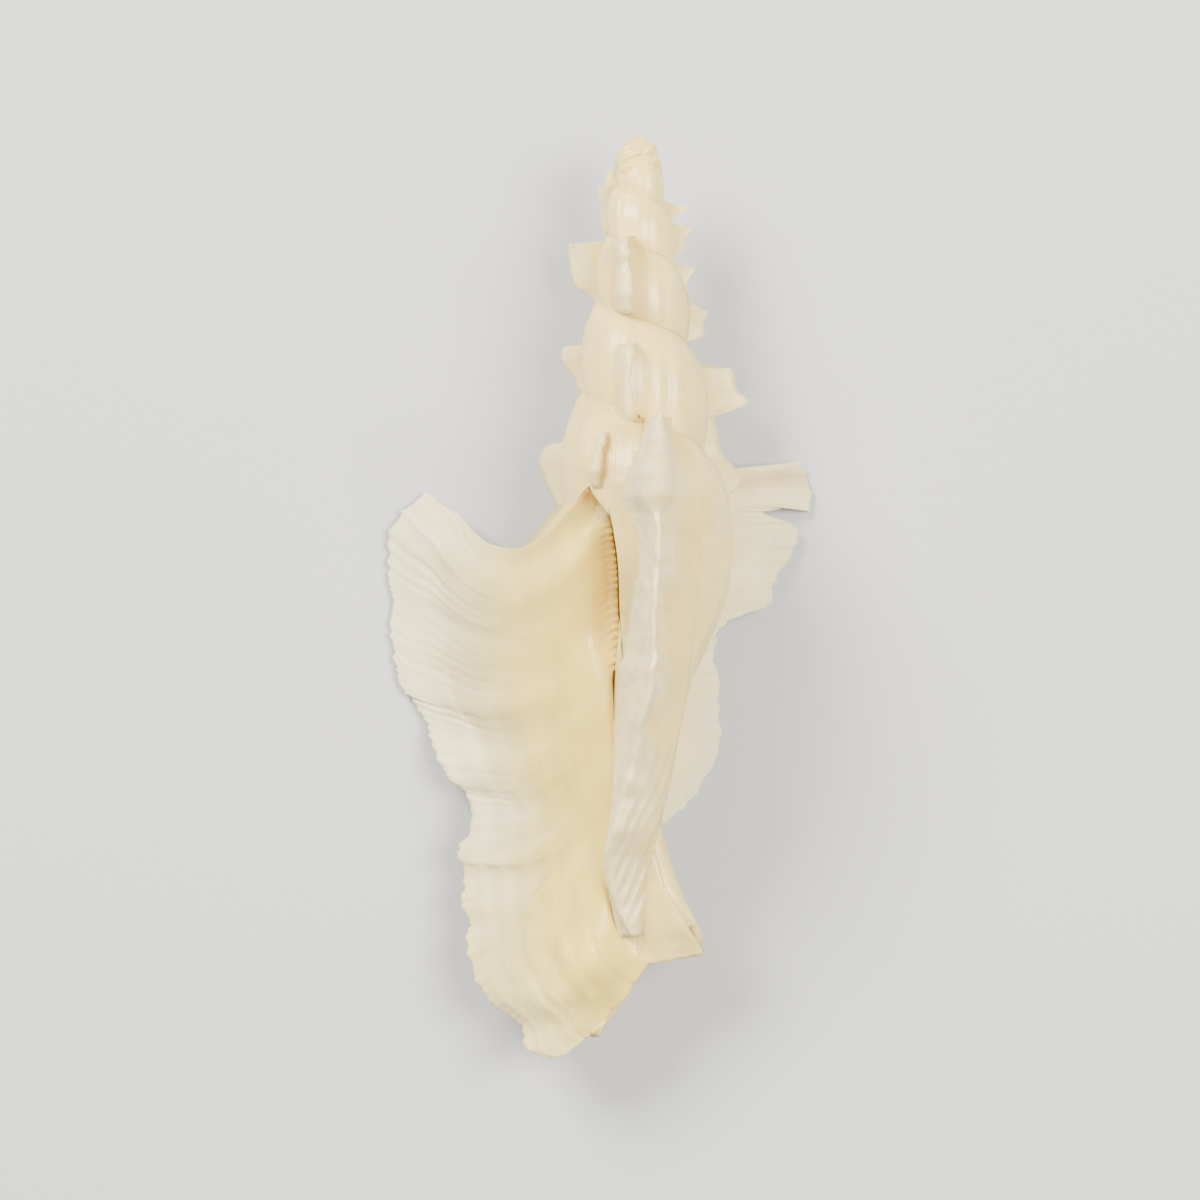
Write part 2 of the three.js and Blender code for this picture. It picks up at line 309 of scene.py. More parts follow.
# ---- the newest varix: the lip of the mouth and the wide wing beyond it ----
# Points are x, drop and z. The rim is the mouth's edge and then one side of the canal's slit.
RIM = [
    [-7.8, 69.8, 11], [-6.0, 73.8, 8.5], [-4.6, 81.3, 2.5], [-4.2, 90, -1.0], [-3.8, 97.7, 0.5],
    [-3.6, 104.2, 2.2], [-3.6, 118.7, 2.2], [-4.5, 131.6, 2.0], [-3.2, 141.3, 1.0], [1.9, 147.0, -1.0],
]
MARGIN = [
    [-34.9, 69.9], [-37.8, 73], [-40.4, 75.6], [-41.4, 80.4], [-41.0, 85.4], [-40.2, 88], [-40.9, 92.9],
    [-40.2, 98.5], [-39.1, 102.6], [-37.1, 104.7], [-35.2, 108.2], [-33.6, 112.9], [-31, 117.7], [-28.1, 121],
    [-27.8, 126.1], [-29.9, 130.5], [-28.6, 132.6], [-29.2, 137.9], [-27.8, 141.3], [-27.6, 144.5],
    [-26.6, 149.1], [-23.7, 153.9], [-18.9, 158.1], [-18.2, 161.5], [-15.6, 163],
]
MARGIN_HEIGHT = np.array([
    [70, -20], [79, -22], [98, -22], [107, -21.5], [114, -17.5], [122.7, -13.5], [132, -14], [140, -13],
    [149, -11.5], [156.5, -9], [163, -6.5],
])
BACK_EDGE = [
    [-7.8, 69.8, 11], [-10.4, 72.7, 8], [-13.3, 76.4, 3.2], [-15.9, 78.6, -1.2], [-18.9, 79.6, -5.4],
    [-22.3, 79.3, -9.6], [-24.9, 78.3, -12.2], [-27.3, 76.2, -14.4], [-29.6, 73.7, -16.6],
    [-32.3, 72.2, -18.6], [-34.9, 69.9, -20],
]
FRONT_EDGE = [
    [1.9, 147.0, -1], [-0.6, 150.7, -1.7], [-2.9, 153.9, -2.4], [-6.1, 157.5, -3.4], [-9.2, 160.4, -4.4],
    [-12.9, 162.5, -5.6], [-15.6, 163, -6.5],
]
LIP_CREST = 7.5
WING_EDGE = 0.7


def patch(u, v, near, far, start, end):
    """A surface through four edge curves: near and far run along v, start and end along u."""
    u3, v3 = u[..., None], v[..., None]
    along = (1 - u3) * even(near, v) + u3 * even(far, v)
    across = (1 - v3) * even(start, u) + v3 * even(end, u)
    corners = (1 - v3) * mix(np.array(near[0]), np.array(far[0]), u3)
    corners = corners + v3 * mix(np.array(near[-1]), np.array(far[-1]), u3)
    return along + across - corners


def wing_faces(rows, columns):
    u, v = grid(rows, columns)
    margin = np.array([[x, drop, np.interp(drop, *MARGIN_HEIGHT.T)] for x, drop in MARGIN])
    face = patch(u, v, RIM, margin, BACK_EDGE, FRONT_EDGE) * np.array([1, -1, 1])
    mouth = step(v, 0.0, 0.14) * (1 - step(v, 0.28, 0.56))
    below = step(v, 0.26, 0.52) * (1 - step(v, 0.87, 1))
    face[..., 2] += LIP_CREST * mouth * np.sin(math.pi * np.minimum(1, u * 1.3) ** 0.72)
    face[..., 2] += 2.2 * below * np.sin(math.pi * u**0.8)
    face[..., 2] += 1.6 * bump(v, 0.9, 0.07) * np.sin(math.pi * u)
    return u, v, face


def lip_teeth(v):
    """How far each tooth of the mouth's rim reaches out, in mm."""
    along = v * 84
    teeth = np.abs(np.sin(math.pi * (along / 1.35 + 0.3 * noise(along / 3, seed=31)))) ** 0.6
    height = 1.15 + 0.4 * noise(along / 1.4, seed=32)
    return (teeth * height - 0.2) * step(v, 0.06, 0.1) * (1 - step(v, 0.37, 0.42))


def fanned(u, v):
    """Where on the margin a rib through u, v ends: the ribs fan out from the mouth's lower end."""
    drawn = 0.5 * (1 - u) ** 1.2
    return (v - 0.4 * drawn) / (1 - drawn)


def wing():
    u, v, face = wing_faces(92, 210)
    outward = normals(face)
    if outward[..., 2].mean() < 0:
        outward = -outward
    # ribs run from the lip out to the margin and open into flutes there
    q = fanned(u, v)
    count = 62 * q + 1.5 * noise(q * 21, seed=40) + 0.4 * noise(u * 3, q * 30, 41)
    upper = 1 - step(q, 0.42, 0.72)
    strength = step(u, 0.3, 0.9) * (0.25 + 0.75 * np.abs(noise(q * 17, u * 1.5, seed=42)))
    strength = strength * (0.35 + 0.65 * upper + 0.7 * bump(q, 0.84, 0.1) * step(u, 0.8, 0.97))
    ribs = 0.24 * strength * (np.sin(2 * math.pi * count) + 0.9 * noise(q * 118, u * 2, seed=48))
    broad = 0.45 + 0.5 * step(q, 0.45, 0.6) * (1 - step(q, 0.9, 1))
    folds = noise(q * 15, u * 1.2, seed=43) + 0.35 * noise(q * 38, u * 2.2, seed=49)
    folds = broad * step(u, 0.15, 0.6) * folds * step(v, 0.03, 0.2)
    ledges = 0.16 * rough(u * 13 + 0.5 * noise(v * 5, seed=45), v * 2, seed=44) * step(u, 0.06, 0.2)
    lobe = 0.5 * rough(u * 4, v * 9, seed=50) * step(v, 0.7, 0.85) * np.sin(math.pi * np.clip(u, 0, 1))
    back_rim = 0.9 * bump(v, 0.0, 0.03) * (1 - step(u, 0.45, 0.9))
    back_rim = back_rim - 0.5 * bump(v, 0.06, 0.02) * (1 - step(u, 0.2, 0.5))
    bead = 0.5 * (1 - step(u, 0.0, 0.035)) * step(v, 0.05, 0.1) * (1 - step(v, 0.37, 0.42))
    valley = bead - 0.5 * (1 - step(u, 0.0, 0.05)) * step(v, 0.36, 0.44) * (1 - step(v, 0.93, 1))
    height = ribs + folds + ledges + lobe + back_rim + valley
    edge = face[-1:] - face[-2:-1]
    edge = edge / np.linalg.norm(edge, axis=2, keepdims=True)
    notches = 0.16 * np.sin(2 * math.pi * count) + 0.4 * rough(q * 60, seed=46) + 0.3 * noise(q * 21, seed=47)
    face = face + edge * (notches * step(u, 0.8, 1.0) * step(v, 0.0, 0.05))[..., None]
    front_edge = 0.5 * rough(u * 17, seed=51) * step(v, 0.95, 1) * step(u, 0.05, 0.2)
    face[..., 1] += front_edge
    face[..., 0] += lip_teeth(v) * (1 - step(u, 0, 0.05))
    front = face + outward * height[..., None]
    root = (1 - step(u, 0.1, 0.62)) * step(u, -0.25, 0.3) * (1 - 0.8 * step(v, 0.85, 0.97))
    thick = WING_EDGE + (3.5 + 5 * (1 - step(v, 0.3, 0.6))) * root
    back = front + np.array([-0.35, 0, -0.94]) * thick[..., None]
    warm = 0.95 * (1 - step(u, 0.3, 0.85)) + 0.3 * bump(v, 0.85, 0.2)
    chalk = step(u, 0.45, 0.95) * (1 - 0.6 * step(v, 0.5, 0.8))
    # The first term is a real orange spot at the mouth's upper corner; the second is a painted shadow, a
    # faint orange-brown line across the rim where its teeth end.
    stain = bump(u, 0, 0.05) * bump(v, 0, 0.03) + 0.2 * bump(u, 0, 0.03) * bump(v, 0.42, 0.03)
    return closed("wing", front, back, warm=warm, chalk=chalk, stain=stain, grow=u * 34, across=q * 105)


def before_wing():
    """Everything in front of the wing's face: the older whorl is cleared away there for the mouth."""
    u, v, face = wing_faces(40, 120)
    face[..., 0] += 1.3 * (1 - step(u, 0.0, 0.12)) * step(v, 0.02, 0.08) * (1 - step(v, 0.33, 0.42))
    face[..., 2] -= 1.6 * step(u, 0.0, 0.1) * step(v, 0.0, 0.06)
    return closed("before_wing", face, face + np.array([0, 0, 40.0]), warm=0.3, chalk=0.5, across=v * 95)


# ---- the fin that stands up: its back carries the white glaze of the mouth's inner side ----
# Rows: drop; x and z of its left root, its margin and its right root; width of the margin.
FIN_ROWS = np.array([
    [58.9, 1.6, 13, 3.2, 33, 5.5, 14, 0.3], [60.5, 1.2, 13, 3.1, 32.5, 5.5, 14, 1.4],
    [63.0, 0.4, 13, 3.0, 31.5, 6, 13.5, 3.0], [68, -2, 12.5, 2.8, 29.5, 8, 14, 4.8],
    [71.5, -3.2, 11.5, 2.8, 28.2, 10, 14.2, 5.0], [74.5, -3.2, 9, 2.8, 27.4, 10.5, 13.8, 0.9],
    [80, -3.0, 5, 2.8, 27, 10.5, 13, 0.8], [88, -2.8, 2, 2.6, 26.5, 9.8, 11, 0.8],
    [98, -3.9, 0.6, 2.2, 24.5, 8.9, 7.5, 0.8], [104, -4.1, 0.6, 1.6, 22.5, 8.2, 4.5, 0.8],
    [111, -4.2, 0.6, 0.6, 19.0, 6.8, 2.2, 0.8], [118, -4.3, 0.6, -1.2, 15, 5.4, 1.0, 0.8],
    [124.4, -4.7, 0.6, -3.4, 10.8, 3.8, 0.5, 0.8], [129, -5.3, 0.6, -4.9, 7.6, 2.9, 0.4, 0.8],
    [134, -5.2, 0.4, -4.5, 5.0, 2.3, 0.2, 0.8], [139, -4.3, 0.2, -2.6, 3.3, 1.6, 0.0, 0.6],
    [142.5, -3.2, 0.0, -0.7, 1.6, 0.9, -0.2, 0.4],
])


def fin_sheet(u, v, side):
    drop = mix(FIN_ROWS[0, 0], FIN_ROWS[-1, 0], v)
    row = [np.interp(drop, FIN_ROWS[:, 0], FIN_ROWS[:, k]) for k in range(1, 8)]
    left_x, left_z, x, z, right_x, right_z, width = row
    root_x, root_z = (left_x, left_z) if side < 0 else (right_x, right_z)
    free = step(drop, 71, 75) * (1 - 0.6 * step(drop, 125, 132))
    wave = 0.65 * noise(drop / 6, seed=60) + 0.3 * noise(drop / 2.2, seed=61)
    edge_x = x + wave * free + side * width / 2
    edge_z = z + 0.9 * noise(drop / 2.6, seed=62) * free
    px = mix(root_x, edge_x, u)
    if side > 0:
        # hollow where it runs out on to the whorl, rounded and corded beside the canal
        round_part = step(drop, 106, 122)
        px = px - (root_x - edge_x) * (0.3 * (1 - round_part) - 0.12 * round_part) * np.sin(math.pi * u)
        pz = mix(root_z, edge_z, mix(u**1.5, np.sin(math.pi / 2 * u), round_part))
        lumps = 1.2 * bump(u, 0.55, 0.3) * rough(drop / 4.2 + u * 2.5, u * 2.2, 65)
        lumps = lumps * step(drop, 70, 78) * (1 - step(drop, 108, 118))
        strand = (px + 0.48 * drop) / 1.95 + 0.3 * noise(drop / 9, u * 2, seed=90)
        cords = 0.34 * np.sin(2 * math.pi * strand) + 0.1 * np.sin(4.6 * math.pi * strand)
        cords = cords * step(drop, 104, 116) * (1 - step(drop, 137, 142))
        cords = cords * step(u, 0.02, 0.2) * (1 - step(u, 0.9, 1))
        px = px + lumps + 0.5 * cords
        pz = pz + 0.6 * lumps + 0.85 * cords
    else:
        pz = mix(root_z, edge_z, u)
        px = px + (edge_x - root_x) * 0.12 * np.sin(math.pi * u)
        px = px + 0.22 * rough(drop / 1.1, u * 18, 64, octaves=4) * step(u, 0.02, 0.2)
    deep = u == 0
    return np.stack([np.where(deep, side * 0.3, px), -drop, np.where(deep, 1.2, pz)], axis=-1)


def fin():
    u, v = grid(36, 150)
    left, right = fin_sheet(u, v, -1), fin_sheet(u, v, 1)
    piece = closed("fin", left, right, warm=0.1, grow=u * 20, across=v * 80)
    white = step(u, 0.02, 0.15) * 0.95
    grey = 0.55 * step(u, 0.25, 0.6)
    chalk = np.concatenate([white.ravel(), grey.ravel()]).astype(np.float32)
    piece.data.attributes["chalk"].data.foreach_set("value", chalk)
    return piece


# ---- the wing on the other side, torn behind its spine ----
# Pairs of x and drop: where each line of growth leaves the body, and where it ends at the margin.
SIDE_ROOT = [
    [10, 67], [12, 69.5], [12, 71], [11, 72], [10, 73.5], [9, 76], [9, 80], [9, 84], [9, 88], [8, 92],
    [7, 97], [6, 102], [5, 107], [4, 112], [3, 118], [2, 124],
]
SIDE_MARGIN = [
    [27.3, 65.1], [28.2, 68.6], [29.0, 73.0], [25.4, 72.7], [21.3, 73.8], [25.8, 75.5], [26.2, 79.1],
    [23.4, 84.5], [21.6, 88.6], [14.1, 92.1], [12.8, 96.0], [13.4, 100.9], [13.7, 107.4], [12.6, 114],
    [8.9, 120.3], [4.4, 124.4],
]


def side_wing():
    u, v = grid(36, 130)
    root, margin = spline(SIDE_ROOT, v), spline(SIDE_MARGIN, v)
    torn = 0.45 * rough(v * 70, seed=70) + 0.5 * noise(v * 24, seed=71)
    p = mix(root, margin, u[..., None])
    x, drop = p[..., 0] + torn * step(u, 0.75, 1) * 0.9, p[..., 1] + 0.3 * torn * step(u, 0.75, 1)
    ribs = 0.22 * np.sin(2 * math.pi * (v * 34 + noise(v * 12, seed=72))) * step(u, 0.3, 0.9)
    folds = 0.5 * noise(v * 9, u * 2, seed=73) * step(u, 0.2, 0.6)
    channel = -1.1 * bump(v, 0.055, 0.03) * step(u, 0.1, 0.4) + 0.6 * bump(v, 0.0, 0.02)
    z = -0.62 * x - 1 + ribs + folds + channel + 0.08 * rough(x / 1.5, drop / 1.5, 74)
    half = 0.33 + 1.6 * (1 - u) ** 2
    front, back = np.stack([x, -drop, z + half], -1), np.stack([x, -drop, z - half], -1)
    chalk = 0.6 + 0.4 * step(u, 0.2, 0.8)
    # painted shade: orange-brown laid in the spine's open channel, exactly where the channel is sunk
    stain = 0.35 * bump(v, 0.055, 0.025) * step(u, 0.1, 0.4)
    return closed("side_wing", front, back, warm=0.1, chalk=chalk, stain=stain, grow=u * 20, across=v * 65)


# ---- the end of the canal one varix older, open like a spout beside the newest ----
SPOUT_NEAR = [[-5.4, 134, 0.6], [-4.6, 139, 0.2], [-3.2, 142.5, -0.2], [0.8, 147.4, -1.7]]
SPOUT_FAR = [[2.9, 128.5, 2.2], [4.5, 134.5, 2.0], [7.8, 140.8, 0.2], [10.8, 145.8, -3.0]]
SPOUT_BACK = [[-5.4, 134, 0.6], [-1.0, 131, 2.6], [2.9, 128.5, 2.2]]
SPOUT_LIP = [[0.8, 147.4, -1.7], [4.6, 146.9, -2.6], [7.8, 146.3, -3.4], [10.8, 145.8, -3.0]]


def spout():
    u, v = grid(16, 32)
    face = patch(u, v, SPOUT_NEAR, SPOUT_FAR, SPOUT_BACK, SPOUT_LIP) * np.array([1, -1, 1])
    outward = normals(face)
    outward = outward * np.sign(outward[..., 2:].mean())
    relief = 0.12 * rough(v * 9, u * 3, 95) + 0.3 * rough(u * 14, seed=96) * step(v, 0.9, 1)
    front = face + outward * relief[..., None]
    thick = 0.8 + 1.8 * (1 - step(v, 0.3, 0.9))
    back = front - outward * thick[..., None]
    return closed("spout", front, back, warm=0.55, chalk=0.15, grow=v * 14, across=u * 7)


# ---- fins of the older varices ----
# Azimuth, lean in degrees, then the margin as pairs of radius and drop.
OLD_FINS = [
    [206, 8, [
        [6, 62], [15.2, 62.2], [18.6, 62.9], [19.2, 65.5], [18.4, 69], [16.5, 71.4], [14, 74], [6, 74.5],
    ]],
    [206, 8, [[5, 45.5], [11.5, 46.3], [14.3, 46.6], [14.9, 48.6], [13.2, 51.5], [11.4, 54], [6, 55]]],
    [208, 6, [
        [4, 34], [9, 32.8], [11.6, 31.2], [13.6, 29.6], [13.2, 32.2], [12, 36.6],
        [9.8, 38], [7.5, 41], [4, 41],
    ]],
    [208, 4, [[2.5, 26], [5, 24], [7.9, 20.6], [7.4, 23.4], [6.6, 28], [3, 29]]],
    [207, 4, [[2.5, 17.4], [5.2, 18.0], [5.9, 19.6], [5.4, 21.5], [2.5, 21.5]]],
    [124, -8, [[6, 61], [13.4, 61.5], [15.0, 64.6], [15.6, 67.2], [14.0, 70.0], [6, 69.5]]],
    [116, -20, [[4, 47.0], [11.0, 47.2], [13.0, 50.2], [12.4, 54.2], [12.8, 57.2], [10, 59.8], [4, 59]]],
    [118, -18, [[3, 29.6], [10.4, 29.8], [11.9, 32.4], [11.2, 36.0], [11.6, 39.4], [9, 41.8], [3, 42]]],
    [-28, 6, [
        [6, 49.2], [14.3, 49.9], [16.4, 50.3], [17.2, 53.4], [20.0, 55.4], [16.5, 56.9], [12, 58], [6, 58],
    ]],
    [-28, 4, [
        [5, 55.5], [12.4, 56], [13.8, 59.5], [14.4, 63.5], [16.8, 66.0], [19, 69], [12, 73], [8, 74],
    ]],
    [-27, 4, [[4, 39], [9.6, 39.8], [11.4, 40.6], [12.6, 41.2], [11.0, 43.2], [10.6, 45.4], [4, 46]]],
    [-26, 4, [[4, 33], [8.4, 33.6], [10.4, 33.9], [8.8, 35.6], [8.6, 37.4], [4, 38]]],
    [-26, 4, [[3.5, 26.6], [7.6, 27.0], [10.2, 27.4], [7.8, 29.2], [8.2, 31.2], [4, 32]]],
    [-26, 4, [[3, 22.8], [6.4, 23.6], [9.0, 24.0], [6.6, 25.8], [3, 26.5]]],
]




def old_fin(number, azimuth, lean, margin):
    u, v = grid(15, 34)
    edge = spline(margin, v)
    radius, drop = mix(2.0, edge[..., 0], u), edge[..., 1]
    ragged = 0.5 * rough(v * 10 + number * 5, seed=80, octaves=4) * step(u, 0.6, 1)
    radius = radius + ragged
    turn_by = azimuth + lean * u**2 + 2.5 * noise(v * 4 + number, u * 2, seed=81) * step(u, 0.4, 1)
    middle = place(radius, turn_by, drop)
    stout = 0.45 if 100 < azimuth < 140 else 0.0
    uneven = (0.1 + 0.5 * stout) * noise(v * 9, u * 3, seed=82 + number)
    half = 0.34 + stout + 0.9 * (1 - step(u, 0.3, 1)) + uneven
    half = half + stout * 0.6 * noise(v * 17 + number, u * 3, seed=84) * step(u, 0.5, 0.9)
    angle = np.radians(azimuth + 90)
    across = np.array([math.cos(angle), 0, math.sin(angle)])
    front, back = middle + across * half[..., None], middle - across * half[..., None]
    return closed("old_fin", front, back, warm=0.35, chalk=0.55 * step(u, 0.4, 0.9), grow=u * 8, across=drop)


# ---- the mouth's hollow, which goes down past the rim and follows the coil round ----
# Rows: x and z of its left side from the rim, x and z of its right side from the rim, half its length.
HOLLOW_ROWS = np.array([
    [1.15, 7, 1.5, 7, 12.2], [1.1, 0.6, 1.45, 1.0, 12.2], [-0.3, -1.5, 0.8, -1.6, 12],
    [-3.2, -2.6, -0.7, -4.2, 11], [-6.4, -4.6, -2.6, -7.6, 9.5], [-8.4, -9.0, -4.2, -10.6, 8],
    [-3.0, -15.5, -1.6, -11.5, 6], [6.5, -14.0, 6.0, -9.5, 4.5],
])
HOLLOW_DROP = 85.5


def hollow():
    t = np.linspace(0, 1, 60)
    left_x, left_z, right_x, right_z, tall = (c[:, None] for c in spline(HOLLOW_ROWS, t).T)
    angle = np.linspace(0, 2 * math.pi, 96, endpoint=False)[None, :]
    share = 0.5 + 0.5 * np.sin(angle)
    drop = HOLLOW_DROP - tall * np.cos(angle)
    rim = spline(RIM, np.linspace(0, 1, 200))
    follow = 1 - step(t[:, None], 0.35, 0.8)
    rim_x = mix(-4.4, np.interp(drop, rim[:, 1], rim[:, 0]), follow)
    rim_z = mix(0.5, np.interp(drop, rim[:, 1], rim[:, 2]), follow)
    x, z = rim_x + mix(left_x, right_x, share), rim_z + mix(left_z, right_z, share)
    rings = np.stack([x, -drop, z], axis=-1)
    return capped("hollow", rings, warm=0.5, chalk=0.5, grow=5.0, across=5.0)


# ---- joining it all ----
def heal(mesh):
    """Gives the points that joining made the traits of their neighbours."""
    count = len(mesh.vertices)
    edges = np.zeros(len(mesh.edges) * 2, dtype=np.int32)
    mesh.edges.foreach_get("vertices", edges)
    a, b = edges.reshape(-1, 2).T
    kept = np.zeros(count, dtype=np.float32)
    mesh.attributes["kept"].data.foreach_get("value", kept)
    fresh = kept < 0.5
    for trait in TRAITS:
        value = np.zeros(count, dtype=np.float32)
        mesh.attributes[trait].data.foreach_get("value", value)
        known = ~fresh
        for _ in range(6):
            total = np.bincount(a, value[b] * known[b], count) + np.bincount(b, value[a] * known[a], count)
            number = np.bincount(a, known[b], count) + np.bincount(b, known[a], count)
            reach = ~known & (number > 0)
            value[reach] = (total / np.maximum(number, 1))[reach]
            known = known | reach
        mesh.attributes[trait].data.foreach_set("value", value)


def to_ground():
    """From the shell's own frame in millimetres to the row's frame in metres."""
    lay = Matrix.Rotation(PITCH, 4, "X") @ Matrix.Rotation(ROLL, 4, "Y")
    return Matrix.Translation(SEAT * MM) @ Matrix.Scale(MM, 4) @ lay


def settle(mesh):
    """Squeezes the lowest 2.5 mm up to the floor, so that the wings' edges lie on it."""
    points = np.zeros(len(mesh.vertices) * 3, dtype=np.float32)
    mesh.vertices.foreach_get("co", points)
    points = points.reshape(-1, 3)
    low, soft = points[:, 2].min(), 2.5 * MM
    under = points[:, 2] < soft
    points[under, 2] = (points[under, 2] - low) * soft / (soft - low)
    mesh.vertices.foreach_set("co", points.ravel())
    mesh.update()


body, *rest = coil()
shell = join(body, [*rest, pillar(), tip()])
shell = join(shell, [before_wing()], "DIFFERENCE")
grown = [wing(), fin(), side_wing(), spout()]
grown += [old_fin(number, *row) for number, row in enumerate(OLD_FINS)]
shell = join(shell, grown)
shell = join(shell, [hollow()], "DIFFERENCE")
shell.name = shell.data.name = "shell_visual"
heal(shell.data)
shell.data.transform(to_ground())
settle(shell.data)

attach(shell, "root")
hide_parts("shell")
for polygon in shell.data.polygons:
    polygon.use_smooth = True


# ---- looks ----
def linear(hex_code):
    """Scene-linear colour from an sRGB hex value."""
    parts = [int(hex_code[i : i + 2], 16) / 255 for i in (1, 3, 5)]
    return (*[c / 12.92 if c <= 0.04045 else ((c + 0.055) / 1.055) ** 2.4 for c in parts], 1.0)


def add(tree, kind, links=None, **settings):
    """Adds one node, sets its properties and sockets, and links sockets from other nodes' outputs."""
    node = tree.nodes.new(kind)
    for key, value in settings.items():
        setattr(node, key, value)
    for socket, source in (links or {}).items():
        if isinstance(source, bpy.types.NodeSocket):
            tree.links.new(source, node.inputs[socket])
        else:
            node.inputs[socket].default_value = source
    return node


# Sockets of a colour Mix node: its factor, its two colours and its result.
FACTOR, FIRST, SECOND, RESULT = 0, 6, 7, 2


def shell_carbonate():
    """Sea-shell calcium carbonate, laid down in thin layers by the animal's mantle.

    It gives the eye a satin, slightly see-through cream where it is thick, and a chalky pale surface
    where it is thin or worn.
    """
    material = bpy.data.materials.new("shell_carbonate")
    material.use_nodes = True
    tree = material.node_tree
    tree.nodes.clear()
    trait = {t: add(tree, "ShaderNodeAttribute", attribute_name=t).outputs["Fac"] for t in TRAITS}
    place_at = add(tree, "ShaderNodeTexCoord").outputs["Object"]
    cream, yellow, pale, spot_and_shade_brown = (linear(c) for c in ("#F4DA8C", "#F6D872", "#F1E4B6", "#B9702C"))

    # cream, yellower at the mouth, and paler in streaks towards the wings' edges
    warmed = add(
        tree, "ShaderNodeMix", {FACTOR: trait["warm"], FIRST: cream, SECOND: yellow}, data_type="RGBA"
    )
    grown_at = add(tree, "ShaderNodeCombineXYZ", {"X": trait["grow"], "Y": trait["across"]}).outputs[0]
    along = add(tree, "ShaderNodeVectorMath", {0: grown_at, 1: (0.07, 1.1, 1.0)}, operation="MULTIPLY")
    streak = add(
        tree, "ShaderNodeTexNoise",
        {"Vector": along.outputs[0], "Scale": 1.0, "Detail": 4.0, "Roughness": 0.6},
    )
    uneven = add(
        tree, "ShaderNodeMapRange",
        {"Value": streak.outputs["Fac"], "From Min": 0.3, "From Max": 0.7, "To Min": 0.45, "To Max": 1.25},
    )
    thinned = add(
        tree, "ShaderNodeMath", {0: trait["chalk"], 1: uneven.outputs["Result"]},
        operation="MULTIPLY", use_clamp=True,
    )
    chalked = add(
        tree, "ShaderNodeMix",
        {FACTOR: thinned.outputs[0], FIRST: warmed.outputs[RESULT], SECOND: pale}, data_type="RGBA",
    )

    # soft blotches about 8 mm across, then orange-brown: a real spot above the mouth, and painted shade along
    # the suture creases, in the side wing's spine channel and as a painted shadow line across the rim
    blotch = add(tree, "ShaderNodeTexNoise", {"Vector": place_at, "Scale": 130.0, "Detail": 4.0})
    spread = add(
        tree, "ShaderNodeMapRange",
        {"Value": blotch.outputs["Fac"], "From Min": 0.35, "From Max": 0.7, "To Min": 0.87, "To Max": 1.03},
    )
    toned = add(
        tree, "ShaderNodeMix",
        {FACTOR: 1.0, FIRST: chalked.outputs[RESULT], SECOND: spread.outputs["Result"]},
        data_type="RGBA", blend_type="MULTIPLY",
    )
    spotted_and_shaded = add(
        tree, "ShaderNodeMix",
        {FACTOR: trait["stain"], FIRST: toned.outputs[RESULT], SECOND: spot_and_shade_brown}, data_type="RGBA",
    )

    # growth lines about 0.4 mm apart, and a fine grain of about 0.5 mm
    across = add(tree, "ShaderNodeVectorMath", {0: grown_at, 1: (2.6, 0.12, 1.0)}, operation="MULTIPLY")
    lines = add(tree, "ShaderNodeTexNoise", {"Vector": across.outputs[0], "Scale": 1.0, "Detail": 3.0})
    grain = add(tree, "ShaderNodeTexNoise", {"Vector": place_at, "Scale": 1800.0, "Detail": 3.0})
    low = add(
        tree, "ShaderNodeBump", {"Height": lines.outputs["Fac"], "Strength": 0.35, "Distance": 0.0002}
    )
    fine = add(
        tree, "ShaderNodeBump",
        {"Height": grain.outputs["Fac"], "Strength": 0.35, "Distance": 0.00008, "Normal": low.outputs[0]},
    )
    dull = add(tree, "ShaderNodeMapRange", {"Value": trait["chalk"], "To Min": 0.24, "To Max": 0.58})
    surface = add(
        tree, "ShaderNodeBsdfPrincipled",
        {
            "Base Color": spotted_and_shaded.outputs[RESULT], "Roughness": dull.outputs["Result"], "IOR": 1.56,
            "Normal": fine.outputs[0], "Subsurface Weight": 0.35,
            "Subsurface Radius": (1.0, 0.85, 0.6), "Subsurface Scale": 0.002,
        },
    )
    add(tree, "ShaderNodeOutputMaterial", {"Surface": surface.outputs[0]})
    return material


shell.data.materials.clear()
shell.data.materials.append(shell_carbonate())


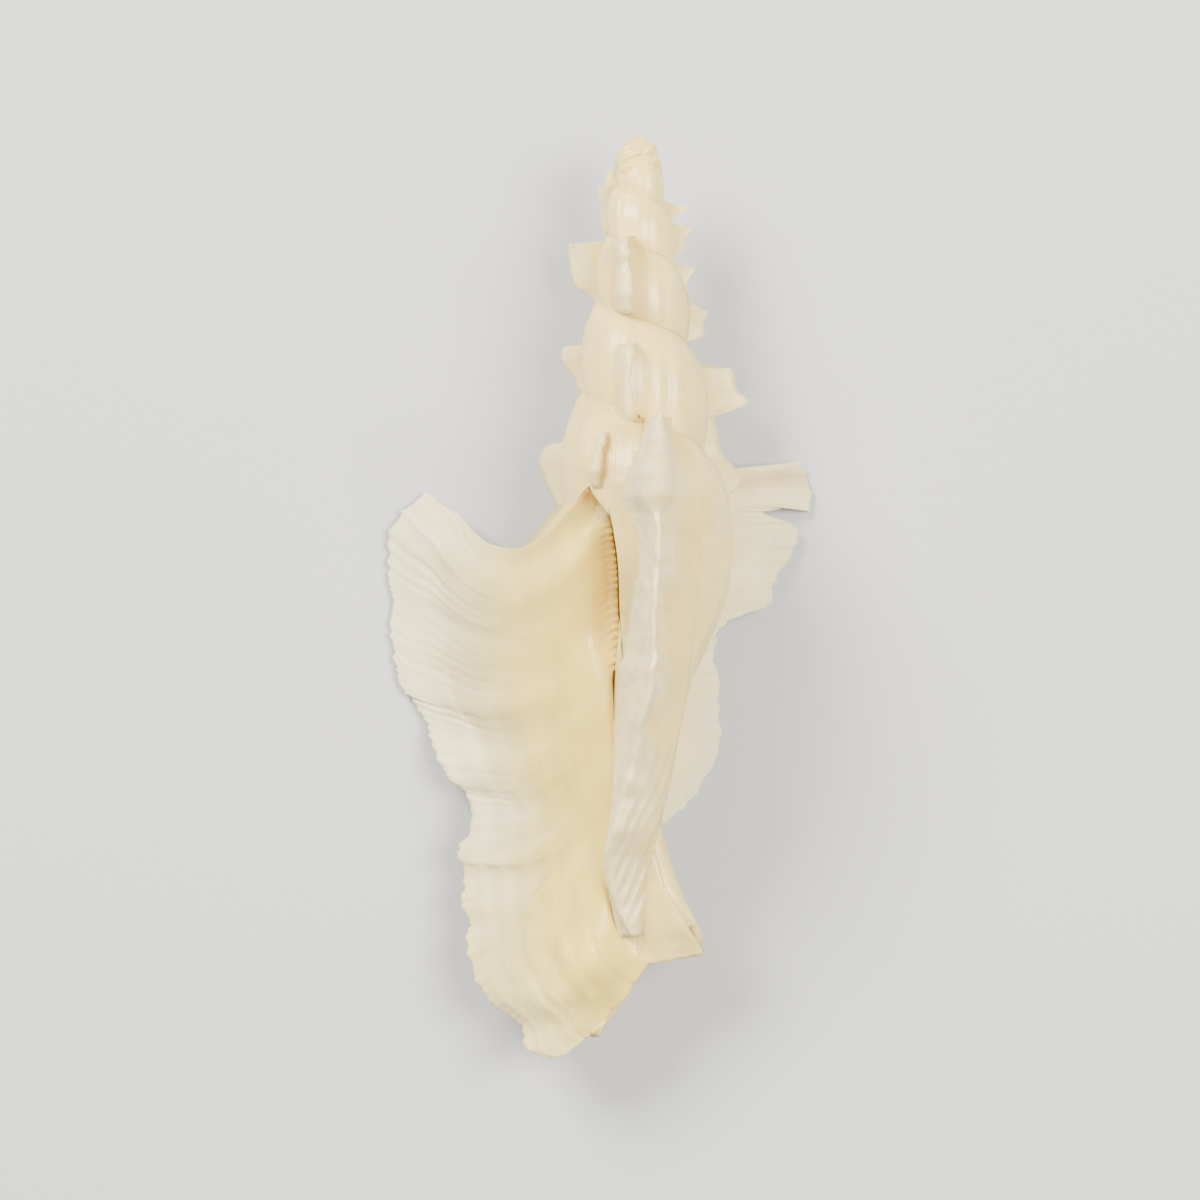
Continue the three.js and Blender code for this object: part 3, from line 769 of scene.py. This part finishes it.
# ---- floor, light and camera ----
def area_light(name, width, height, power, position, target, colour=(1, 1, 1)):
    lamp = bpy.data.lights.new(name, "AREA")
    lamp.shape, lamp.size, lamp.size_y, lamp.energy, lamp.color = "RECTANGLE", width, height, power, colour
    holder = bpy.data.objects.new(name, lamp)
    holder.location = position
    holder.rotation_euler = (Vector(target) - Vector(position)).to_track_quat("-Z", "Y").to_euler()
    bpy.context.scene.collection.objects.link(holder)


def floor():
    """A sheet of matt pale paper, which gives the eye nothing but a soft shadow."""
    mesh = bpy.data.meshes.new("floor")
    half = 3.0
    corners = [(-half, -half, 0), (half, -half, 0), (half, half, 0), (-half, half, 0)]
    mesh.from_pydata(corners, [], [(0, 1, 2, 3)])
    ground = bpy.data.objects.new("floor", mesh)
    bpy.context.scene.collection.objects.link(ground)
    material = bpy.data.materials.new("pale_paper")
    material.use_nodes = True
    shader = material.node_tree.nodes["Principled BSDF"]
    shader.inputs["Base Color"].default_value = linear("#C2C3C4")
    shader.inputs["Roughness"].default_value = 0.9
    mesh.materials.append(material)


def camera():
    data = bpy.data.cameras.new("camera")
    data.sensor_width = 36
    distance = 0.75
    frame_width = 0.1938
    data.lens = 36 * distance / frame_width
    holder = bpy.data.objects.new("camera", data)
    turn = to_ground()
    aim = turn @ Vector((-6.1, -88.0, 4.0))
    back = (turn.to_3x3() @ Vector((0, 0, 1))).normalized()
    up = (turn.to_3x3() @ Vector((0, 1, 0))).normalized()
    right = up.cross(back).normalized()
    facing = Matrix((right, back.cross(right), back)).transposed().to_4x4()
    holder.matrix_world = Matrix.Translation(aim + back * distance) @ facing
    data.clip_start = 0.01
    bpy.context.scene.collection.objects.link(holder)
    bpy.context.scene.camera = holder


floor()
camera()
area_light("key", 0.4, 0.4, 23.0, (-0.45, 0.5, 0.7), (0, 0, 0.02), (1.0, 0.96, 0.9))
area_light("window", 0.34, 0.5, 19.0, (0.5, 0.1, 0.85), (0, 0, 0.02), (1.0, 0.97, 0.92))
world = bpy.data.worlds.new("studio")
world.use_nodes = True
world.node_tree.nodes["Background"].inputs["Color"].default_value = linear("#FBF8F2")
world.node_tree.nodes["Background"].inputs["Strength"].default_value = 0.5
bpy.context.scene.world = world
